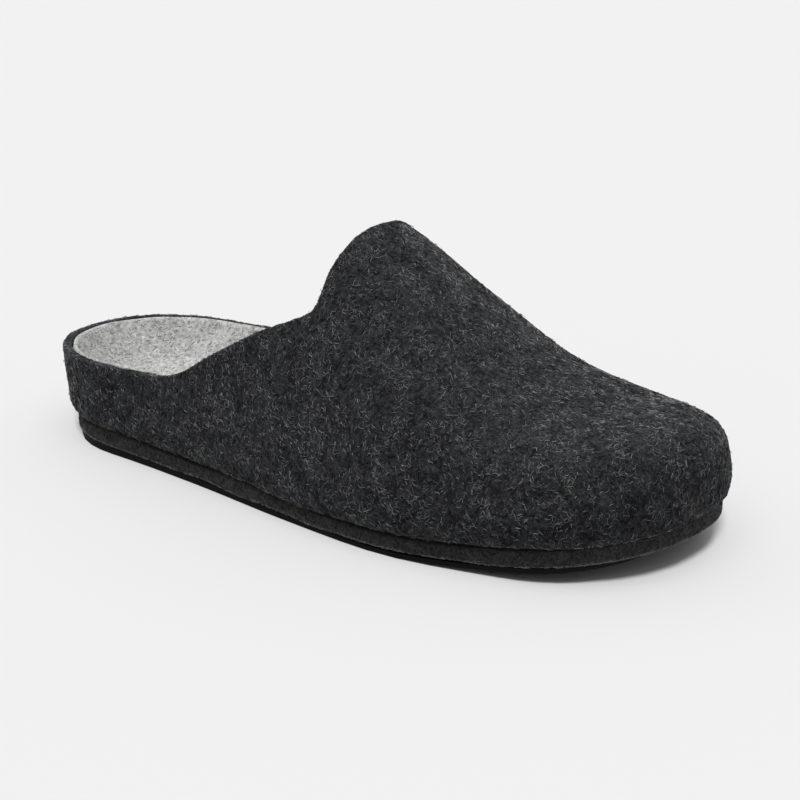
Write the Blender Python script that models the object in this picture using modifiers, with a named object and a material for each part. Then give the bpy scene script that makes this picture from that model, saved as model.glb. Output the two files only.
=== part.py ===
"""A felt mule slipper for the right foot.

The toe points along +X, the outer side of the foot is at -Y, and the sole stands on z = 0. Sizes are in
millimetres, with x counted from the back of the heel, and an empty centres the slipper over the origin.

All four pieces follow one last. Its spine runs down the middle of the foot, and ribs leave the spine in
plan: straight out along the two sides, and fanned around the heel and the toe. A rib's share is 0 on the
ridge of the foot, 1 on its widest line, and more where the upper turns in under the foot.
"""

from collections import namedtuple

import bmesh
import bpy
import numpy as np
from mathutils import Vector

MM = 0.001
GAP = 0.3                    # clearance between pieces that meet
QUARTER = np.radians(90)
WELD = 1e-6                  # points closer than this, in metres, are one
SHARP = np.radians(40)       # folds sharper than this keep a hard edge in the shading

# Outline of the last at its widest
LENGTH = 278.0
HEEL_CENTRE = 40.0           # where the round of the heel ends and the sides begin
TOE_CENTRE = 228.0           # where the sides end and the round of the toe begins
HEEL_ROUND = 2.05            # exponents of the two end curves, 2 being an ellipse
TOE_ROUND = 2.3
HALVINGS = 30                # steps that find where a rib meets the outline

# Sole, from the floor up
OUTSOLE_THICKNESS = 2.5
OUTSOLE_INSET = 1.4          # the rubber stands back from the felt band above it
OUTSOLE_CHAMFER = 0.4
TOE_SETBACK = 7.0            # the rubber stops this much shorter at the tip of the toe
SETBACK_TURN = 4             # exponent of the setback around the toe, higher keeping it to the tip
BAND_THICKNESS = 6.6
BAND_ROUNDING = 0.6
TREAD_SPRING = 179.0         # the underside of the rubber is flat on the floor behind this line
BAND_SPRING = 170.0          # the band starts to rise here, so that the rubber is thicker under the ball
TOE_SPRING = 12.0            # rise of the band at the tip of the toe
TREAD_RISE = 10.9            # and of the underside of the rubber
DROP = 0.0103                # slope by which all above the rubber falls from the heel towards the toe
DROP_LEVEL = 110.0           # the rubber has its plain thickness here, more behind and less ahead
BAND_BOTTOM = OUTSOLE_THICKNESS + GAP
BAND_TOP = BAND_BOTTOM + BAND_THICKNESS
SEAM = BAND_TOP + GAP        # the lower edge of the upper

# Upper
WALL = 3.2
RIM_ROUNDING = 0.5
RIM_FOLD = np.radians(55)    # only the cut edges fold more sharply than this
BULGE = 7.0                  # height of the widest line above the seam
TURN = np.radians(60)        # how far the wall turns in below the widest line
TURN_SHARE = 0.1             # share of a rib that the turn takes up
FLARE_HEIGHT = 20.0          # the walls lean by their flare over this height
PATTERN_UNIT = 50.0          # length of a whole rib on the flat pattern
UPPER_ROWS = 16
TOE_CROWDING = 0.8           # how much closer the rows lie towards the sole at the toe

# Ribs of the sole pieces in a quarter of the heel, along a side and in a quarter of the toe
HEEL_RIBS = 7
SIDE_RIBS = 15
TOE_RIBS = 10
RINGS = (0.0, 0.4, 0.75)     # shares of a flat face's width where it is divided
INSOLE_SEAT = 2.4            # the insole stands in from the wall's lower edge by this much
INSOLE_SIDE_ROWS = 5
INSOLE_TOP_RINGS = (0.92, 0.8, 0.6, 0.35, 0.0)
CUP = 2.6                    # exponent of the insole's hollow, higher being a flatter middle

# Width of the last, swing of its middle line, the upper's overhang over the band and its walls' flare,
# which leans out at the heel and in at the toe
Plan = namedtuple("Plan", "x half_width swing overhang flare")
PLAN = (
    Plan(0, 35.0, 0.0, 3.0, 1.9),
    Plan(40, 35.9, 0.4, 3.0, 2.0),
    Plan(90, 38.3, -2.2, 3.0, 0.8),
    Plan(140, 44.9, -3.2, 3.3, 0.0),
    Plan(185, 51.8, -0.3, 3.6, 0.0),
    Plan(228, 50.7, 4.2, 3.7, 0.0),
    Plan(278, 44.7, 6.3, 2.3, -4.5),
)

# Height of the instep's ridge and the form of the section below it
Section = namedtuple("Section", "x ridge fullness shoulder")
SECTIONS = (
    Section(0, 95.0, 3.0, 0.80),
    Section(80, 104.0, 2.6, 1.00),
    Section(120, 107.5, 2.2, 1.11),
    Section(150, 102.4, 2.1, 1.18),
    Section(180, 81.5, 2.2, 1.09),
    Section(210, 60.1, 2.4, 0.99),
    Section(240, 51.6, 2.9, 0.80),
    Section(278, 54.2, 6.0, 0.48),
)

# Rim of the opening from the back of the heel to the tip of the tongue, the place on the sole's edge that
# each rib from it runs to, and the ribs in the stretch that ends there
Rim = namedtuple("Rim", "x height foot ribs")
COLLAR = (
    Rim(0.0, 36.2, 0.0, 0),
    Rim(25.0, 36.3, 25.0, 4),
    Rim(58.0, 37.8, 58.0, 5),
    Rim(79.0, 40.2, 82.0, 3),
    Rim(103.0, 53.6, 110.0, 4),
    Rim(127.0, 66.9, 141.0, 4),
    Rim(142.6, 73.9, 164.0, 3),
    Rim(146.5, 77.2, 177.5, 2),
    Rim(147.0, 87.5, 203.0, 3),
    Rim(149.2, 97.0, 236.0, 4),
    Rim(152.0, 102.8, 278.0, 6),
)

# Top of the insole along the middle line and at its raised edge, and how far its side stays off the wall
Footbed = namedtuple("Footbed", "x middle edge clearance")
FOOTBED = (
    Footbed(0, 21.0, 35.7, 0.9),
    Footbed(40, 18.5, 36.7, 0.9),
    Footbed(75, 18.0, 39.0, 0.9),
    Footbed(100, 18.8, 39.5, 0.9),
    Footbed(140, 18.5, 29.0, 0.9),
    Footbed(185, 15.4, 19.5, 0.9),
    Footbed(228, 17.4, 21.0, 1.0),
    Footbed(278, 24.0, 27.0, 1.8),
)

# Colour, roughness and metallic value of each piece
Finish = namedtuple("Finish", "colour roughness metallic")
FINISHES = {
    "upper": Finish((0.030, 0.032, 0.035), 0.95, 0.0),
    "insole": Finish((0.420, 0.425, 0.430), 0.95, 0.0),
    "midsole": Finish((0.012, 0.012, 0.013), 0.95, 0.0),
    "outsole": Finish((0.008, 0.008, 0.008), 0.70, 0.0),
}


def column(table, name):
    """One column of a table."""
    return np.array([getattr(row, name) for row in table], dtype=float)


def smooth(places, values, at):
    """A smooth curve through values at places; its slopes come from the neighbouring rows."""
    slopes = np.gradient(values, places)
    row = np.clip(np.searchsorted(places, at) - 1, 0, len(places) - 2)
    step = places[row + 1] - places[row]
    t = np.clip((at - places[row]) / step, 0, 1)
    start = (1 + 2 * t) * values[row] + t * step * slopes[row]
    end = (3 - 2 * t) * values[row + 1] + (t - 1) * step * slopes[row + 1]
    return (1 - t) ** 2 * start + t ** 2 * end


def plan(name, x):
    return smooth(column(PLAN, "x"), column(PLAN, name), x)


def section(name, x):
    return smooth(column(SECTIONS, "x"), column(SECTIONS, name), x)


def footbed(name, x):
    return smooth(column(FOOTBED, "x"), column(FOOTBED, name), x)


def half_width(x):
    """Half the width of the last, closed by a round at the heel and at the toe."""
    back = np.clip((HEEL_CENTRE - x) / HEEL_CENTRE, 0, 1)
    front = np.clip((x - TOE_CENTRE) / (LENGTH - TOE_CENTRE), 0, 1)
    heel = (1 - back ** HEEL_ROUND) ** (1 / HEEL_ROUND)
    toe = (1 - front ** TOE_ROUND) ** (1 / TOE_ROUND)
    return plan("half_width", x) * heel * toe


def spring(x, start, rise):
    """Rise towards the tip of the toe, ahead of the line where it starts."""
    run = np.clip((x - start) / (LENGTH - start), 0, None)
    return rise * run ** 2


def lift(x):
    """Rise of the felt band and of all that stands on it."""
    return spring(x, BAND_SPRING, TOE_SPRING)


def fall(x):
    """Height that the slope of the foot's line adds behind its level and takes away ahead of it."""
    return DROP * (DROP_LEVEL - x)


def tread_lift(x):
    """Rise of the underside of the rubber, less the slope, so that it lies flat on the floor in the end."""
    return spring(x, TREAD_SPRING, TREAD_RISE) - fall(x)


def tilted(point):
    """A point in metres, turned with the slope of the foot's line."""
    x, y, z = point
    return Vector((x + DROP * z, y, z + fall(x))) * MM


def spine(x):
    """Plan points on the middle line."""
    return np.column_stack([x, plan("swing", x)])


def reach(start, way):
    """Plan distance from the spine along each rib to the widest line, found by halving."""
    near = np.zeros(len(start))
    far = np.full(len(start), LENGTH / 2)
    for _ in range(HALVINGS):
        middle = (near + far) / 2
        spot = start + way * middle[:, None]
        inside = np.abs(spot[:, 1] - plan("swing", spot[:, 0])) < half_width(spot[:, 0])
        near = np.where(inside, middle, near)
        far = np.where(inside, far, middle)
    return near


def fan(station, side):
    """Spine points and plan directions of the ribs at stations along one side, from heel back to toe tip.

    A station is an x on the side, and a part of the quarter turn in the round of the heel or the toe.
    """
    heel = np.clip((HEEL_CENTRE - station) / HEEL_CENTRE, 0, 1)
    toe = np.clip((station - TOE_CENTRE) / (LENGTH - TOE_CENTRE), 0, 1)
    turn = QUARTER * (toe - heel)
    way = np.column_stack([np.sin(turn), side * np.cos(turn)])
    return np.clip(station, HEEL_CENTRE, TOE_CENTRE), way


def upper_face(spine_x, way, share):
    """Points of the outer face of the upper."""
    start = spine(spine_x)
    width = reach(start, way)
    above = QUARTER * np.minimum(share, 1)
    below = TURN * np.clip((share - 1) / TURN_SHARE, 0, 1)
    along = spine_x + way[:, 0] * width * np.sin(above)
    out = width * np.sin(above) ** (2 / section("fullness", along))
    rise = np.maximum(np.cos(above), 0) ** section("shoulder", along)
    tuck = plan("overhang", along) * (1 - np.cos(below)) / (1 - np.cos(TURN))
    spot = start + way * (out - tuck)[:, None]
    widest = lift(spot[:, 0]) + SEAM + BULGE
    drop = BULGE * np.sin(below) / np.sin(TURN)
    height = widest + (section("ridge", spot[:, 0]) - widest) * rise - drop
    lean = plan("flare", spot[:, 0]) * np.clip((height - widest) / FLARE_HEIGHT, 0, 2)
    return np.column_stack([spot + way * lean[:, None], height])


def inner_face(spine_x, way, share, depth):
    """Points at depths inside the upper's outer face, measured square to each rib."""
    step = TURN_SHARE / 25
    here = upper_face(spine_x, way, share)
    tangent = upper_face(spine_x, way, share + step) - upper_face(spine_x, way, share - step)
    run = (tangent[:, :2] * way).sum(axis=1)
    fall = tangent[:, 2]
    length = np.hypot(run, fall)
    inward = way * (fall / length)[:, None]
    return here + depth[:, None] * np.column_stack([inward, -run / length])


def share_at(spine_x, height):
    """Share of a rib where the wall reaches a height, above the widest line."""
    widest = lift(spine_x) + SEAM + BULGE
    part = np.clip((height - widest) / (section("ridge", spine_x) - widest), 0, 1)
    return np.arccos(part ** (1 / section("shoulder", spine_x))) / QUARTER


def band_edge(spine_x, way, inset):
    """Plan points of the felt band's edge, moved in along the ribs."""
    start = spine(spine_x)
    width = reach(start, way)
    tip = start + way * width[:, None]
    return start + way * (width - plan("overhang", tip[:, 0]) - inset)[:, None]


def around(stations):
    """Ribs all round the last: the outer side from heel to toe, then the inner side back to the heel."""
    outer_x, outer_way = fan(stations, -1)
    inner_x, inner_way = fan(stations[::-1][1:-1], 1)
    return np.concatenate([outer_x, inner_x]), np.vstack([outer_way, inner_way])


def loft(name, rings, collection):
    """A mesh object from closed rings of points, each joined to the next, welded where they meet."""
    mesh = bpy.data.meshes.new(name)
    shape = bmesh.new()
    rows = [[shape.verts.new(tilted(point)) for point in ring] for ring in rings]
    for row, following in zip(rows, rows[1:]):
        for i in range(len(row)):
            j = (i + 1) % len(row)
            shape.faces.new((row[i], row[j], following[j], following[i]))
    bmesh.ops.remove_doubles(shape, verts=shape.verts, dist=WELD)
    bmesh.ops.recalc_face_normals(shape, faces=shape.faces)
    shape.to_mesh(mesh)
    shape.free()
    mesh.shade_smooth()
    mesh.set_sharp_from_angle(angle=SHARP)
    piece = bpy.data.objects.new(name, mesh)
    collection.objects.link(piece)
    return piece


def finish(piece):
    """Give a piece the material of its own name."""
    look = FINISHES[piece.name]
    material = bpy.data.materials.new(piece.name)
    material.use_nodes = True
    surface = material.node_tree.nodes["Principled BSDF"]
    surface.inputs["Base Color"].default_value = (*look.colour, 1)
    surface.inputs["Roughness"].default_value = look.roughness
    surface.inputs["Metallic"].default_value = look.metallic
    piece.data.materials.append(material)


def sole_ribs():
    heel = np.linspace(0, HEEL_CENTRE, HEEL_RIBS, endpoint=False)
    side = np.linspace(HEEL_CENTRE, TOE_CENTRE, SIDE_RIBS, endpoint=False)
    toe = np.linspace(TOE_CENTRE, LENGTH, TOE_RIBS + 1)
    return around(np.concatenate([heel, side, toe]))


def level(spot, height, rise=lift):
    """Plan points at a height above a layer of the sole that rises towards the toe."""
    return np.column_stack([spot, rise(spot[:, 0]) + height])


def flat_face(spine_x, edge, height, rise=lift):
    """Rings of a face of the sole, from the spine out to near its edge."""
    middle = spine(spine_x)
    return [level(middle + (edge - middle) * ring, height, rise) for ring in RINGS]


def slab(name, profile, collection, setback=0.0):
    """A sole piece from rows of inset, height and rise up its side; both ends close over the spine."""
    spine_x, way = sole_ribs()
    short = setback * np.clip(way[:, 0], 0, 1) ** SETBACK_TURN
    side = []
    faces = []
    for inset, height, rise in profile:
        edge = band_edge(spine_x, way, inset + short)
        side.append(level(edge, height, rise))
        faces.append(flat_face(spine_x, edge, height, rise))
    return loft(name, faces[0] + side + faces[-1][::-1], collection)


def make_outsole(collection):
    profile = (
        (OUTSOLE_INSET + OUTSOLE_CHAMFER, 0.0, tread_lift),
        (OUTSOLE_INSET, OUTSOLE_CHAMFER, tread_lift),
        (OUTSOLE_INSET, OUTSOLE_THICKNESS, lift),
    )
    return slab("outsole", profile, collection, TOE_SETBACK)


def make_midsole(collection):
    profile = (
        (BAND_ROUNDING, BAND_BOTTOM, lift),
        (0.0, BAND_BOTTOM + BAND_ROUNDING, lift),
        (0.0, BAND_TOP - BAND_ROUNDING, lift),
        (BAND_ROUNDING, BAND_TOP, lift),
    )
    return slab("midsole", profile, collection)


def make_insole(collection):
    """A footbed that follows the inside of the upper and is hollowed towards the heel."""
    spine_x, way = sole_ribs()
    foot = band_edge(spine_x, way, INSOLE_SEAT)
    bottom = flat_face(spine_x, foot, SEAM) + [level(foot, SEAM)]

    wall_x = upper_face(spine_x, way, np.ones(len(spine_x)))[:, 0]
    top_share = share_at(wall_x, footbed("edge", wall_x))
    depth = WALL + footbed("clearance", wall_x)
    side = []
    for part in np.linspace(0, 1, INSOLE_SIDE_ROWS):
        share = (1 + TURN_SHARE) * (1 - part) + top_share * part
        side.append(inner_face(spine_x, way, share, depth))

    rim = side[-1]
    rim_rise = rim[:, 2] - footbed("middle", rim[:, 0])
    middle = spine(spine_x)
    top = []
    for ring in INSOLE_TOP_RINGS:
        spot = middle + (rim[:, :2] - middle) * ring
        top.append(np.column_stack([spot, footbed("middle", spot[:, 0]) + rim_rise * ring ** CUP]))
    return loft("insole", bottom + side + top, collection)


def collar_ribs():
    """Where each rib of the upper starts on the rim and ends on the sole's edge, on one side."""
    index = np.cumsum(column(COLLAR, "ribs"))
    ribs = np.arange(index[-1] + 1)
    return [smooth(index, column(COLLAR, name), ribs) for name in ("x", "height", "foot")]


def pattern(spine_x, way, share):
    """Places on the flat pattern of the upper, drawn around a straight spine."""
    middle = np.column_stack([spine_x, np.zeros(len(spine_x))])
    return middle + way * (share * PATTERN_UNIT)[:, None]


def on_last(spots):
    """Points of the upper's outer face for places on its flat pattern."""
    spine_x = np.clip(spots[:, 0], HEEL_CENTRE, TOE_CENTRE)
    away = spots - np.column_stack([spine_x, np.zeros(len(spots))])
    distance = np.hypot(away[:, 0], away[:, 1])
    way = np.where(distance[:, None] > WELD, away / np.maximum(distance, WELD)[:, None], (0.0, 1.0))
    return upper_face(spine_x, way, distance / PATTERN_UNIT)


def make_upper(collection):
    """A moulded felt wall between the rim and the sole's edge, cut on its flat pattern."""
    x, height, foot = collar_ribs()
    rim_share = share_at(np.maximum(x, 0), height)
    starts = []
    ends = []
    for side, order in ((-1, slice(None)), (1, slice(-2, 0, -1))):
        rim_x, rim_way = fan(np.minimum(x, TOE_CENTRE), side)
        foot_x, foot_way = fan(foot, side)
        starts.append(pattern(rim_x, rim_way, rim_share)[order])
        ends.append(pattern(foot_x, foot_way, np.full(len(foot), 1 + TURN_SHARE))[order])
    start = np.vstack(starts)
    end = np.vstack(ends)
    length = np.linalg.norm(end - start, axis=1)
    crowding = 1 + TOE_CROWDING * (length / length.max())[:, None]
    rings = []
    for part in np.linspace(1, 0, UPPER_ROWS + 1):
        rings.append(on_last(end + (start - end) * part ** crowding))
    upper = loft("upper", rings, collection)

    wall = upper.modifiers.new("wall", "SOLIDIFY")
    wall.thickness = WALL * MM
    wall.offset = -1
    wall.use_even_offset = True
    edges = upper.modifiers.new("cut edges", "BEVEL")
    edges.width = RIM_ROUNDING * MM
    edges.segments = 2
    edges.limit_method = "ANGLE"
    edges.angle_limit = RIM_FOLD
    return upper


def centre(holder, pieces):
    """Move the holder so that the slipper's box is centred over the origin."""
    graph = bpy.context.evaluated_depsgraph_get()
    corners = []
    for piece in pieces:
        shape = piece.evaluated_get(graph)
        mesh = shape.to_mesh()
        corners += [vertex.co.copy() for vertex in mesh.vertices]
        shape.to_mesh_clear()
    points = np.array(corners)
    middle = (points.min(axis=0) + points.max(axis=0)) / 2
    holder.location = (-middle[0], -middle[1], 0)


def main():
    for thing in list(bpy.data.objects):
        bpy.data.objects.remove(thing)
    slipper = bpy.data.collections.new("mule_slipper")
    bpy.context.scene.collection.children.link(slipper)
    holder = bpy.data.objects.new("slipper", None)
    slipper.objects.link(holder)
    pieces = [make(slipper) for make in (make_outsole, make_midsole, make_insole, make_upper)]
    for piece in pieces:
        finish(piece)
        piece.parent = holder
    centre(holder, pieces)


main()
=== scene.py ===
import math
from functools import reduce

import bpy
import numpy as np
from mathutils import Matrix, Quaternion, Vector, noise
from mathutils.bvhtree import BVHTree


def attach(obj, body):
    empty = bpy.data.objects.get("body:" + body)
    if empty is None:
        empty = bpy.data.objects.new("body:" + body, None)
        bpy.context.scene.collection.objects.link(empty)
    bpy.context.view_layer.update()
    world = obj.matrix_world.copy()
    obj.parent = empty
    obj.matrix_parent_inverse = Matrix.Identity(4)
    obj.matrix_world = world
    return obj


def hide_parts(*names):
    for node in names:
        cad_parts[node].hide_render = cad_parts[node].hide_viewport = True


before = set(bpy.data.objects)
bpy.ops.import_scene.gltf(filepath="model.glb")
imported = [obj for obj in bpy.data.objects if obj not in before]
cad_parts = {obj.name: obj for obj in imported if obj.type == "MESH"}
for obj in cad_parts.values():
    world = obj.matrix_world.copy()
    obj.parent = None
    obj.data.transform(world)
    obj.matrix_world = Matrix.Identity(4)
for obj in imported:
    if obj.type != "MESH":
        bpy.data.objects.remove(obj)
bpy.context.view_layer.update()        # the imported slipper: outsole, midsole, insole and upper
mm = 0.001
print("frame loaded:", ", ".join(sorted(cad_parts)))


# Camera, floor and light
shot = {
    "azimuth": 38.1,               # degrees round from the outer side towards the toe
    "elevation": 18.46,
    "distance": 703 * mm,
    "target": (17.86 * mm, -1.33 * mm, 36.33 * mm),
    "roll": -0.63,                 # degrees; the photo is turned by a little
    "lens": 89.3,
    "clip": (0.01, 100),
}

studio = {
    "floorSize": 14.0,
    "floorColour": (0.80, 0.80, 0.80, 1),
    "floorRoughness": 1.0,
    "floorShine": 0.0,
    "skyColour": (1.0, 1.0, 1.0, 1),
    "skyStrength": 0.35,
}

# two lamps for the paper and two for the slipper: where they stand, their strength and width
lamps = {
    "paperLamp": {"azimuth": 37, "elevation": 49, "strength": 2.49, "spread": 11},
    "softPaperLamp": {"azimuth": 38, "elevation": 58, "strength": 0.60, "spread": 60},
    "slipperLamp": {"azimuth": 300, "elevation": 74, "strength": 4.5, "spread": 50},
    "sideLamp": {"azimuth": 100, "elevation": 22, "strength": 0.6, "spread": 40},
}


def towards(azimuth, elevation):
    turn = math.radians(azimuth)
    rise = math.radians(elevation)
    level = math.cos(rise)
    return Vector((math.sin(turn) * level, -math.cos(turn) * level, math.sin(rise)))


def placeCamera():
    back = towards(shot["azimuth"], shot["elevation"])
    camera = bpy.data.objects.new("camera", bpy.data.cameras.new("camera"))
    bpy.context.collection.objects.link(camera)
    camera.location = Vector(shot["target"]) + back * shot["distance"]
    camera.rotation_mode = "QUATERNION"
    roll = Quaternion((0, 0, 1), math.radians(shot["roll"]))
    camera.rotation_quaternion = (-back).to_track_quat("-Z", "Y") @ roll
    camera.data.lens = shot["lens"]
    camera.data.clip_start, camera.data.clip_end = shot["clip"]
    bpy.context.scene.camera = camera


def setStudio():
    bpy.ops.object.select_all(action="DESELECT")
    bpy.ops.mesh.primitive_plane_add(size=studio["floorSize"])
    floor = bpy.context.object
    floor.name = "floor"
    paper = bpy.data.materials.new("palePaper")
    paper.use_nodes = True
    surface = paper.node_tree.nodes["Principled BSDF"]
    surface.inputs["Base Color"].default_value = studio["floorColour"]
    surface.inputs["Roughness"].default_value = studio["floorRoughness"]
    surface.inputs["Specular IOR Level"].default_value = studio["floorShine"]
    floor.data.materials.append(paper)

    sky = bpy.data.worlds.new("softSky")
    sky.use_nodes = True
    background = sky.node_tree.nodes["Background"]
    background.inputs["Color"].default_value = studio["skyColour"]
    background.inputs["Strength"].default_value = studio["skyStrength"]
    bpy.context.scene.world = sky

    bpy.context.scene.view_settings.view_transform = "Standard"
    return floor


def setLamp(name, lit):
    # a wide sun that reaches only the objects in lit
    look = lamps[name]
    lamp = bpy.data.objects.new(name, bpy.data.lights.new(name, "SUN"))
    bpy.context.collection.objects.link(lamp)
    lamp.data.energy = look["strength"]
    lamp.data.angle = math.radians(look["spread"])
    lamp.rotation_mode = "QUATERNION"
    lamp.rotation_quaternion = towards(look["azimuth"], look["elevation"]).to_track_quat("Z", "Y")
    lamp.light_linking.receiver_collection = bpy.data.collections.new(name + "Lit")
    for thing in lit:
        lamp.light_linking.receiver_collection.objects.link(thing)


placeCamera()
floor = setStudio()
for name in ("paperLamp", "softPaperLamp"):
    setLamp(name, [floor])
print("camera and floor set")


# Mesh helpers
quads = {
    "weld": 0.001 * mm,            # corners of the loose triangles closer than this are one
    "flat": math.radians(50),
    "square": math.radians(60),
}


def pickOnly(piece):
    bpy.ops.object.select_all(action="DESELECT")
    piece.select_set(True)
    bpy.context.view_layer.objects.active = piece


def copyOfNode(nodeName, pieceName):
    piece = bpy.data.objects.new(pieceName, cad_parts[nodeName].data.copy())
    bpy.context.collection.objects.link(piece)
    piece.data.materials.clear()
    pickOnly(piece)
    bpy.ops.mesh.customdata_custom_splitnormals_clear()
    bpy.ops.object.mode_set(mode="EDIT")
    bpy.ops.mesh.select_all(action="SELECT")
    bpy.ops.mesh.remove_doubles(threshold=quads["weld"])
    bpy.ops.mesh.tris_convert_to_quads(
        face_threshold=quads["flat"], shape_threshold=quads["square"])
    bpy.ops.object.mode_set(mode="OBJECT")
    bpy.ops.object.shade_smooth()
    return piece


def applied(piece, kind, **settings):
    pickOnly(piece)
    modifier = piece.modifiers.new(kind.lower(), kind)
    for name, value in settings.items():
        setattr(modifier, name, value)
    bpy.ops.object.modifier_apply(modifier=modifier.name)


def subdivided(piece, levels):
    applied(piece, "SUBSURF", levels=levels, render_levels=levels)


def weighted(piece, name, weights):
    group = piece.vertex_groups.new(name=name)
    for index, weight in enumerate(weights):
        group.add([index], float(weight), "REPLACE")


def swollen(piece, weights, height, direction="NORMAL"):
    # moves the surface by height where the weights are 1
    weighted(piece, "swell", weights)
    applied(piece, "DISPLACE", direction=direction, strength=height, mid_level=0, vertex_group="swell")
    piece.vertex_groups.clear()


def lumpy(piece, lumps, group=""):
    # felt is uneven: lumps of a few grains and heights, one on the other
    for grain, height in lumps:
        texture = bpy.data.textures.new(piece.name + "Lumps", "CLOUDS")
        texture.noise_scale = grain
        texture.noise_depth = 2
        applied(piece, "DISPLACE", texture=texture, texture_coords="LOCAL", strength=height,
                mid_level=0.5, vertex_group=group)


def numbersOf(items, name, width=3):
    found = np.empty(len(items) * width)
    items.foreach_get(name, found)
    return found.reshape(-1, width)


def surfaceOf(piece):
    mesh = piece.data
    mesh.calc_loop_triangles()
    spots = numbersOf(mesh.vertices, "co")
    normals = numbersOf(mesh.vertices, "normal")
    corners = numbersOf(mesh.loop_triangles, "vertices").astype(int)
    return spots, normals, corners


def treeOf(piece):
    spots, _, corners = surfaceOf(piece)
    return BVHTree.FromPolygons(spots.tolist(), corners.tolist())


def smoothStep(low, high, value):
    share = np.clip((value - low) / (high - low), 0, 1)
    return share * share * (3 - 2 * share)


def besideLine(spots, start, end):
    # how far along a line the spots lie, as a share of it, and their offsets from it
    run = end - start
    share = np.clip((spots - start) @ run / (run @ run), 0, 1)
    return share, spots - start - share[:, None] * run


# Shader maths: a thread is one value in a material, and sums of threads add their nodes
class Thread:
    def __init__(self, tree, socket=None):
        self.tree = tree
        self.socket = socket

    def add(self, kind, settings=None, sockets=None, out=0):
        node = self.tree.nodes.new(kind)
        for name, value in (settings or {}).items():
            setattr(node, name, value)
        for name, value in (sockets or {}).items():
            if isinstance(value, Thread):
                self.tree.links.new(value.socket, node.inputs[name])
            else:
                node.inputs[name].default_value = value
        return Thread(self.tree, node.outputs[out])

    def maths(self, operation, first, second):
        return self.add("ShaderNodeMath", {"operation": operation}, {0: first, 1: second})

    def __add__(self, other):
        return self.maths("ADD", self, other)

    def __radd__(self, other):
        return self.maths("ADD", other, self)

    def __sub__(self, other):
        return self.maths("SUBTRACT", self, other)

    def __rsub__(self, other):
        return self.maths("SUBTRACT", other, self)

    def __mul__(self, other):
        return self.maths("MULTIPLY", self, other)

    def __rmul__(self, other):
        return self.maths("MULTIPLY", other, self)

    def __abs__(self):
        return self.maths("ABSOLUTE", self, 0.0)

    def most(self, other):
        return self.maths("MAXIMUM", self, other)

    def between(self, low, high):
        return self.add("ShaderNodeMapRange", {"interpolation_type": "SMOOTHSTEP"},
                        {"Value": self, "From Min": low, "From Max": high})

    def tint(self, first, second):
        # a Mix node has its colours at inputs 6 and 7, and their mixture at output 2
        return self.add("ShaderNodeMix", {"data_type": "RGBA"}, {0: self, 6: first, 7: second}, out=2)

    def noise(self, place, size, detail=2.0, warp=0.0):
        return self.add("ShaderNodeTexNoise", sockets={
            "Vector": place, "Scale": 1 / size, "Detail": detail, "Distortion": warp})

    def bump(self, height, strength, depth):
        return self.add("ShaderNodeBump", sockets={
            "Height": height, "Strength": strength, "Distance": depth})

    def feed(self, socket):
        self.tree.links.new(self.socket, socket)


def newMaterial(name, look):
    material = bpy.data.materials.new(name)
    material.use_nodes = True
    surface = material.node_tree.nodes["Principled BSDF"]
    surface.inputs["Roughness"].default_value = look["roughness"]
    surface.inputs["Specular IOR Level"].default_value = look["shine"]
    return material, surface, Thread(material.node_tree)


# Felt, as the upper, the insole and the band share it
feltLook = {
    "roughness": 0.95,
    "shine": 0.1,
    "blotchLevels": (0.35, 0.68),            # noise levels between which a pattern fades in
    "fleckLevels": (0.30, 0.72),
    "breakLevels": (0.44, 0.60),
    "fleckDetail": 3.0,
    "strandDetail": 1.0,
    "strandWarp": 0.8,
    "layerShift": (0.31, 0.17, 0.23),        # metres from one layer of strands to the next
    "groundMix": {"fleck": 0.75, "blotch": 0.25},
    "reliefMix": {"fleck": 0.6, "strand": 0.6, "blotch": 0.2},
}


def strandLayer(thread, place, felt, number):
    # thin crooked lines, drawn where a noise crosses its middle and broken up by another noise
    shift = [number * step for step in feltLook["layerShift"]]
    moved = thread.add("ShaderNodeMapping", sockets={"Vector": place, "Location": shift})
    wave = thread.noise(moved, felt["strandSize"], feltLook["strandDetail"], feltLook["strandWarp"])
    line = 1 - abs(wave - 0.5) * felt["strandThinness"]
    gaps = thread.noise(moved, felt["breakSize"], feltLook["strandDetail"])
    return line.between(0.0, 1.0) * gaps.between(*feltLook["breakLevels"])


def feltMaterial(name, felt):
    # matted wool: a flecked ground under thin strands
    material, surface, thread = newMaterial(name, feltLook)
    place = thread.add("ShaderNodeTexCoord", out="Object")
    blotch = thread.noise(place, felt["blotchSize"]).between(*feltLook["blotchLevels"])
    fleck = thread.noise(place, felt["fleckSize"], feltLook["fleckDetail"])
    fleck = fleck.between(*feltLook["fleckLevels"])
    layers = [strandLayer(thread, place, felt, number) for number in range(felt["strandLayers"])]
    strand = reduce(Thread.most, layers)
    mix = feltLook["groundMix"]
    ground = (fleck * mix["fleck"] + blotch * mix["blotch"]).tint(felt["dark"], felt["middle"])
    mix = feltLook["reliefMix"]
    relief = fleck * mix["fleck"] + strand * mix["strand"] + blotch * mix["blotch"]
    surface.inputs["Sheen Weight"].default_value = felt["sheen"]
    surface.inputs["Sheen Tint"].default_value = felt["sheenTint"]
    (strand * felt["strandShow"]).tint(ground, felt["pale"]).feed(surface.inputs["Base Color"])
    thread.bump(relief, felt["bump"], felt["bumpDepth"]).feed(surface.inputs["Normal"])
    return material


# Loose wool strands: closed spindles that lie on the felt, bent in two places, with sunk tips
footLine = np.array([(-98, 0, 28), (88, 3, 30)]) * mm      # runs through the middle of the foot

spindle = {
    "roughness": 0.9,
    "shine": 0.15,
    "tips": (-0.5, 0.5),                     # shares of its length, from the middle
    "bends": (-0.17, 0.17),
    "turns": np.radians((0, 120, 240)),      # its corners at each bend
}

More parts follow.
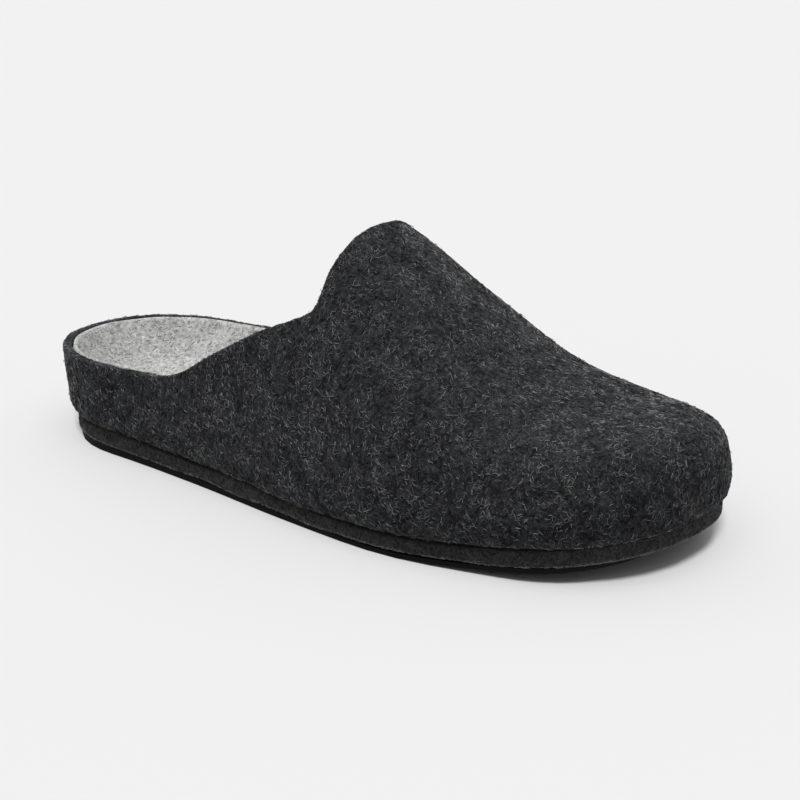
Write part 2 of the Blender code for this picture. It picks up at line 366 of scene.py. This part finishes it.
# what most strands share; a piece's own wool adds to this and changes some of it
commonWool = {
    "rise": (0.02 * mm, 0.14 * mm),          # of the bends above the felt
    "sunk": 0.08 * mm,                       # depth of the tips in the felt
    "curl": 0.20,                            # sideways bend as a share of the length
    "looseShare": 0.02,                      # strands with one tip that stands off the felt
    "looseRise": (0.15 * mm, 0.4 * mm),
    "room": 2.5 * mm,                        # free air that a strand needs over it
    "roomFrom": 0.1 * mm,                    # height above the felt from which it is measured
    "insideShare": 1.0,                      # strands on what looks at the foot, against the outside
    "slope": (-1, 1),                        # lowest and highest tilt of the felt that holds strands
    "leastClump": 0.05,                      # share of strands that the barest places keep
}


def woolMaterial(name, dye):
    material, surface, _ = newMaterial(name, spindle)
    surface.inputs["Base Color"].default_value = (*dye, 1)
    return material


def facingOut(spots, normals):
    # true where a surface looks away from the foot
    _, offsets = besideLine(spots, *footLine)
    return (offsets * normals).sum(axis=1) > 0


def clumped(spots, wool):
    # melange wool is not evenly mixed: more strands of one dye in some places than in others
    size, contrast = wool["clump"]
    level = np.array([noise.noise(Vector(spot) / size) for spot in spots])
    return np.clip(1 + contrast * level, wool["leastClump"], None)


def scattered(piece, wool, chance):
    # seeds spread in clumps over the outside, and often thinner over what looks at the foot
    spots, normals, corners = surfaceOf(piece)
    a, b, c = (spots[corners[:, i]] for i in range(3))
    centres = (a + b + c) / 3
    square = np.cross(b - a, c - a)
    area = np.linalg.norm(square, axis=1)
    tilt = square[:, 2] / np.maximum(area, 1e-12)      # no division by nothing
    lowest, highest = wool["slope"]
    area = area * np.where(facingOut(centres, square), 1.0, wool["insideShare"])
    area = area * ((tilt > lowest) & (tilt < highest))
    area = area * clumped(centres, wool)
    picked = chance.choice(len(corners), wool["count"], p=area / area.sum())
    split = np.sqrt(chance.random(wool["count"]))
    across = chance.random(wool["count"])
    share = np.column_stack([1 - split, split * (1 - across), split * across])[:, :, None]
    places = (spots[corners[picked]] * share).sum(axis=1)
    ways = (normals[corners[picked]] * share).sum(axis=1)
    return places, ways / np.linalg.norm(ways, axis=1)[:, None]


def openAir(places, ways, neighbours, wool):
    # true where no neighbour lies close over the surface
    others = [treeOf(neighbour) for neighbour in neighbours]
    free = np.ones(len(places), bool)
    for i, (place, way) in enumerate(zip(places, ways)):
        start = Vector(place) + Vector(way) * wool["roomFrom"]
        free[i] = all(other.ray_cast(start, Vector(way), wool["room"])[0] is None for other in others)
    return free


def laidOn(felt, places, heights):
    # the nearest places on the felt, raised by heights along its normals
    laid = np.empty_like(places)
    square = np.empty_like(places)
    for i, place in enumerate(places):
        laid[i], square[i] = felt.find_nearest(place)[:2]
    return laid + square * heights[:, None], square


def spindleCorners(felt, places, ways, wool, chance):
    # one tip, two bends, and a second tip that stands off the felt where the strand is loose
    count = len(places)
    along = np.cross(ways, chance.normal(size=(count, 3)))
    along /= np.linalg.norm(along, axis=1)[:, None]
    aside = np.cross(ways, along)
    length = chance.uniform(*wool["length"], count)[:, None]
    thick = chance.uniform(*wool["radius"], count)[:, None]
    rise = chance.uniform(*wool["rise"], count)
    curl = chance.normal(0, wool["curl"], (count, 4))
    isLoose = chance.random(count) < wool["looseShare"]
    loose = np.where(isLoose, chance.uniform(*wool["looseRise"], count), 0)

    sunk = np.full(count, wool["sunk"])
    heights = (-sunk, rise, rise + loose / 2, loose - sunk)
    shares = sorted(spindle["tips"] + spindle["bends"])
    corners = []
    for share, height, bend in zip(shares, heights, curl.T):
        spot = places + along * length * share + aside * length * bend[:, None]
        middle, square = laidOn(felt, spot, height)
        if share in spindle["tips"]:
            corners.append(middle)
            continue
        across = np.cross(square, along)
        for turn in spindle["turns"]:
            corners.append(middle + (across * np.sin(turn) + square * np.cos(turn)) * thick)
    return np.stack(corners, axis=1)


def spindleFaces():
    # corners in order: a tip, those of the two bends, and the other tip
    sides = len(spindle["turns"])
    near = 1
    far = near + sides
    tip = far + sides
    faces = []
    for i in range(sides):
        j = (i + 1) % sides
        faces.append((0, near + j, near + i))
        faces.append((near + i, near + j, far + j, far + i))
        faces.append((tip, far + i, far + j))
    return faces


def strands(pieceName, piece, wool, neighbours):
    chance = np.random.default_rng(wool["seed"])
    places, ways = scattered(piece, wool, chance)
    free = openAir(places, ways, neighbours, wool)
    corners = spindleCorners(treeOf(piece), places[free], ways[free], wool, chance)
    count, each, _ = corners.shape
    faces = spindleFaces()
    every = [tuple(corner + each * strand for corner in face)
             for strand in range(count) for face in faces]
    mesh = bpy.data.meshes.new(pieceName)
    mesh.from_pydata(corners.reshape(-1, 3).tolist(), [], every)
    dyeOf = np.repeat(chance.integers(0, len(wool["dyes"]), count), len(faces))
    for number, dye in enumerate(wool["dyes"]):
        mesh.materials.append(woolMaterial(f"{pieceName}Dye{number + 1}", dye))
    mesh.polygons.foreach_set("material_index", dyeOf.astype(np.int32))
    made = bpy.data.objects.new(pieceName, mesh)
    bpy.context.collection.objects.link(made)
    pickOnly(made)
    bpy.ops.object.shade_smooth()
    print(pieceName, "has", count, "strands")
    return made


# The seam between the band and the upper dips a little at the waist of the outer side
seamSag = {
    "depth": 1.3 * mm,
    "middle": 8 * mm,
    "halfLength": 26 * mm,
    "side": (-30 * mm, -40 * mm),            # fades in between these two places
    "below": (4.5 * mm, 8 * mm),             # and between these heights, from below
    "above": (30 * mm, 12 * mm),             # and from above
}


def sagAtSeam(piece):
    spots, _, _ = surfaceOf(piece)
    x, y, z = spots.T
    weights = smoothStep(seamSag["halfLength"], 0, np.abs(x - seamSag["middle"]))
    weights *= smoothStep(*seamSag["side"], y)
    weights *= smoothStep(*seamSag["below"], z) * smoothStep(*seamSag["above"], z)
    swollen(piece, weights, -seamSag["depth"], "Z")


# Upper: one moulded wall of charcoal wool felt
upperFelt = {
    "levels": 2,
    "toeSwell": 0.9 * mm,                                    # smoothing takes this from the toe
    "toeFrom": (95 * mm, 132 * mm),
    "lumps": ((22 * mm, 0.7 * mm), (4 * mm, 0.25 * mm)),     # grain and height
    "clearOfSole": (10 * mm, 15 * mm),                       # the lumps fade in between these heights
    "troughs": (                                             # soft dents along lines, in millimetres
        {"width": 4.5 * mm, "depth": 1.3 * mm,
         "line": ((60, -50, 33), (79, -48, 31), (93, -46, 31), (105, -42, 32), (116, -36, 35),
                  (124, -29, 38), (128, -21, 42), (131, -12, 45))},
        {"width": 4 * mm, "depth": 0.9 * mm,
         "line": ((130, -5, 47), (130, -9, 46), (129, -16, 44), (128, -23, 41), (126, -26, 37),
                  (127, -28, 31))},
    ),
    "troughFade": 0.25,                                      # share of a trough that each end takes
    "blotchSize": 7 * mm,
    "fleckSize": 1.3 * mm,
    "strandLayers": 3,
    "strandSize": 2.0 * mm,
    "strandThinness": 38.0,
    "breakSize": 2.4 * mm,
    "strandShow": 0.6,
    "dark": (0.002, 0.002, 0.003, 1),
    "middle": (0.0235, 0.0243, 0.0260, 1),
    "pale": (0.094, 0.097, 0.102, 1),
    "sheen": 0.06,
    "sheenTint": (0.9, 0.92, 1.0, 1),
    "bump": 0.6,
    "bumpDepth": 0.3 * mm,
}

upperWool = {**commonWool, "curl": 0.24, "insideShare": 0.3}
upperWools = {
    "upperPaleWool": {
        **upperWool, "count": 14000, "seed": 11,
        "length": (1.4 * mm, 3.2 * mm), "radius": (0.09 * mm, 0.16 * mm), "rise": (0.04 * mm, 0.18 * mm),
        "looseShare": 0.12, "looseRise": (0.2 * mm, 0.8 * mm),
        "clump": (6 * mm, 2.2),              # size and contrast
        "dyes": ((0.094, 0.097, 0.101), (0.139, 0.142, 0.147), (0.203, 0.208, 0.213),
                 (0.125, 0.120, 0.111)),
    },
    "upperGreyWool": {
        **upperWool, "count": 12000, "seed": 12,
        "length": (1.5 * mm, 3.4 * mm), "radius": (0.08 * mm, 0.14 * mm),
        "looseShare": 0.12, "looseRise": (0.2 * mm, 0.8 * mm),
        "clump": (6 * mm, 0.7),
        "dyes": ((0.0315, 0.0325, 0.0345), (0.0470, 0.0485, 0.0515), (0.065, 0.067, 0.071)),
    },
    "upperDarkWool": {
        **upperWool, "count": 12000, "seed": 13,
        "length": (1.4 * mm, 3.0 * mm), "radius": (0.09 * mm, 0.15 * mm),
        "looseShare": 0.01,
        "clump": (6 * mm, -2.2),             # where the pale wool is thin
        "dyes": ((0.006, 0.006, 0.007), (0.010, 0.010, 0.011), (0.016, 0.016, 0.018)),
    },
}


def nearTrough(spots, trough):
    # 1 on the trough's line, falling off beside it and towards its two ends
    points = np.array(trough["line"]) * mm
    away = np.full(len(spots), np.inf)
    part = np.zeros(len(spots))
    for i, (start, end) in enumerate(zip(points, points[1:])):
        share, offsets = besideLine(spots, start, end)
        distance = np.linalg.norm(offsets, axis=1)
        part = np.where(distance < away, (i + share) / (len(points) - 1), part)
        away = np.minimum(away, distance)
    fade = upperFelt["troughFade"]
    depth = np.exp(-(away / trough["width"]) ** 2)
    return depth * smoothStep(0, fade, part) * smoothStep(0, fade, 1 - part)


def makeUpper():
    upper = copyOfNode("upper", "upperFelt")
    subdivided(upper, upperFelt["levels"])
    sagAtSeam(upper)
    spots, normals, _ = surfaceOf(upper)
    outside = facingOut(spots, normals)
    swollen(upper, smoothStep(*upperFelt["toeFrom"], spots[:, 0]) * outside, upperFelt["toeSwell"])
    for trough in upperFelt["troughs"]:
        swollen(upper, nearTrough(spots, trough) * outside, -trough["depth"])
    weighted(upper, "free", smoothStep(*upperFelt["clearOfSole"], spots[:, 2]))
    lumpy(upper, upperFelt["lumps"], "free")
    upper.vertex_groups.clear()
    upper.data.materials.append(feltMaterial("charcoalFelt", upperFelt))
    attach(upper, "root")
    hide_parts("upper")
    return upper


# Insole: a light grey felt footbed
insoleFelt = {
    "levels": 2,
    "edgeFold": 40,                # degrees; the rim is the only fold sharper than this
    "edgeCrease": 0.75,
    "edgeRise": 0.6 * mm,          # the soft edge stands up to the rim of the wall
    "edgeSpread": 8 * mm,
    "snug": 0.5 * mm,              # the soft side swells against the wall by this much
    "snugAbove": (13 * mm, 17 * mm),
    "snugFacing": (0.3, 0.8),      # the swelling fades in as the surface turns sideways
    "lumps": ((14 * mm, 0.5 * mm), (4 * mm, 0.2 * mm)),
    "blotchSize": 9 * mm,
    "fleckSize": 1.4 * mm,
    "strandLayers": 2,
    "strandSize": 2.2 * mm,
    "strandThinness": 16.0,
    "breakSize": 2.6 * mm,
    "strandShow": 0.5,
    "dark": (0.200, 0.201, 0.196, 1),
    "middle": (0.428, 0.430, 0.420, 1),
    "pale": (0.580, 0.582, 0.571, 1),
    "sheen": 0.05,
    "sheenTint": (1, 1, 1, 1),
    "bump": 0.6,
    "bumpDepth": 0.3 * mm,
}

insoleWools = {
    "insolePaleWool": {
        **commonWool, "count": 9000, "seed": 21,
        "length": (1.4 * mm, 3.0 * mm), "radius": (0.08 * mm, 0.13 * mm), "rise": (0.02 * mm, 0.16 * mm),
        "looseShare": 0.03,
        "clump": (4 * mm, 1.0),
        "dyes": ((0.42, 0.42, 0.41), (0.48, 0.48, 0.47), (0.56, 0.56, 0.55)),
    },
    "insoleGreyWool": {
        **commonWool, "count": 11000, "seed": 22,
        "length": (0.9 * mm, 2.2 * mm), "radius": (0.07 * mm, 0.12 * mm),
        "clump": (4 * mm, -1.6),
        "dyes": ((0.16, 0.16, 0.16), (0.22, 0.22, 0.22), (0.28, 0.28, 0.27)),
    },
}


def raiseEdge(insole):
    # creases the rim, and lifts its upper side with the felt near it
    bpy.ops.object.mode_set(mode="EDIT")
    bpy.ops.mesh.select_all(action="DESELECT")
    bpy.ops.mesh.edges_select_sharp(sharpness=math.radians(insoleFelt["edgeFold"]))
    bpy.ops.transform.edge_crease(value=insoleFelt["edgeCrease"])
    bpy.ops.object.mode_set(mode="OBJECT")
    for vertex in insole.data.vertices:
        vertex.select = vertex.select and vertex.normal.z > 0
    bpy.ops.object.mode_set(mode="EDIT")
    bpy.ops.transform.translate(
        value=(0, 0, insoleFelt["edgeRise"]), use_proportional_edit=True,
        proportional_edit_falloff="SMOOTH", proportional_size=insoleFelt["edgeSpread"])
    bpy.ops.object.mode_set(mode="OBJECT")


def makeInsole():
    insole = copyOfNode("insole", "insoleFelt")
    raiseEdge(insole)
    subdivided(insole, insoleFelt["levels"])
    spots, normals, _ = surfaceOf(insole)
    sideways = np.hypot(normals[:, 0], normals[:, 1])
    side = smoothStep(*insoleFelt["snugFacing"], sideways)
    swollen(insole, side * smoothStep(*insoleFelt["snugAbove"], spots[:, 2]), insoleFelt["snug"])
    lumpy(insole, insoleFelt["lumps"])
    insole.data.materials.append(feltMaterial("lightGreyFelt", insoleFelt))
    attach(insole, "root")
    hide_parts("insole")
    return insole


# Midsole: a dense dark felt band round the shoe
bandFelt = {
    "levels": 2,
    "blotchSize": 8 * mm,
    "fleckSize": 1.2 * mm,
    "strandLayers": 2,
    "strandSize": 2.0 * mm,
    "strandThinness": 18.0,
    "breakSize": 2.4 * mm,
    "strandShow": 0.35,
    "dark": (0.011, 0.011, 0.011, 1),
    "middle": (0.035, 0.035, 0.034, 1),
    "pale": (0.070, 0.070, 0.068, 1),
    "sheen": 0.05,
    "sheenTint": (1, 1, 1, 1),
    "bump": 0.6,
    "bumpDepth": 0.25 * mm,
}

bandWool = {**commonWool, "room": 0.9 * mm, "insideShare": 0.0}
bandWools = {
    "bandGreyWool": {
        **bandWool, "count": 5000, "seed": 31,
        "length": (0.9 * mm, 2.2 * mm), "radius": (0.06 * mm, 0.10 * mm), "rise": (0.02 * mm, 0.10 * mm),
        "sunk": 0.06 * mm, "looseRise": (0.1 * mm, 0.3 * mm),
        "slope": (-0.4, 0.4), "clump": (4 * mm, 1.2),
        "dyes": ((0.012, 0.012, 0.012), (0.018, 0.018, 0.018), (0.058, 0.058, 0.058),
                 (0.115, 0.115, 0.113)),
    },
    # the band is cut through below, and its pale strands show along the cut
    "bandEdgeWool": {
        **bandWool, "count": 2600, "seed": 32,
        "length": (0.9 * mm, 2.4 * mm), "radius": (0.06 * mm, 0.11 * mm), "rise": (0.02 * mm, 0.12 * mm),
        "sunk": 0.05 * mm, "looseShare": 0.2, "looseRise": (0.1 * mm, 0.4 * mm),
        "slope": (-0.93, -0.25), "clump": (5 * mm, 1.6),
        "dyes": ((0.110, 0.110, 0.108), (0.160, 0.160, 0.157), (0.220, 0.220, 0.216)),
    },
}


def makeMidsole():
    band = copyOfNode("midsole", "bandFelt")
    subdivided(band, bandFelt["levels"])
    sagAtSeam(band)
    band.data.materials.append(feltMaterial("denseDarkFelt", bandFelt))
    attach(band, "root")
    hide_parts("midsole")
    return band


# Outsole: thin black rubber
soleRubber = {
    "fold": 30,                    # degrees; sharper folds keep a crisp edge
    "dark": (0.003, 0.003, 0.003, 1),
    "dusty": (0.008, 0.008, 0.007, 1),
    "roughness": 0.75,
    "dustRoughness": 0.15,         # added where the rubber is dusty
    "shine": 0.12,
    "grainSize": 0.8 * mm,
    "patchSize": 18 * mm,
    "patchLevels": (0.35, 0.70),
    "detail": 3.0,
    "bump": 0.4,
    "bumpDepth": 0.1 * mm,
}


def rubberMaterial(name, rubber):
    material, surface, thread = newMaterial(name, rubber)
    place = thread.add("ShaderNodeTexCoord", out="Object")
    grain = thread.noise(place, rubber["grainSize"], rubber["detail"])
    patch = thread.noise(place, rubber["patchSize"], rubber["detail"]).between(*rubber["patchLevels"])
    roughness = patch * rubber["dustRoughness"] + rubber["roughness"]
    patch.tint(rubber["dark"], rubber["dusty"]).feed(surface.inputs["Base Color"])
    roughness.feed(surface.inputs["Roughness"])
    thread.bump(grain, rubber["bump"], rubber["bumpDepth"]).feed(surface.inputs["Normal"])
    return material


def makeOutsole():
    sole = copyOfNode("outsole", "soleRubber")
    bpy.ops.object.shade_smooth_by_angle(angle=math.radians(soleRubber["fold"]))
    sole.data.materials.append(rubberMaterial("blackRubber", soleRubber))
    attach(sole, "root")
    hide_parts("outsole")
    return sole


sole = makeOutsole()
band = makeMidsole()
insole = makeInsole()
upper = makeUpper()
print("felt and rubber pieces made")

pieces = [sole, band, insole, upper]
for wools, felt, others, slot in (
    (upperWools, upper, [insole, band], "upper_felt"),
    (insoleWools, insole, [upper, band], "insole_felt"),
    (bandWools, band, [upper, insole, sole], "band_felt"),
):
    for name, wool in wools.items():
        piece = strands(name, felt, wool, others)
        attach(piece, "root")
        pieces.append(piece)
for name in ("slipperLamp", "sideLamp"):
    setLamp(name, pieces)
print("wool strands made and lit")
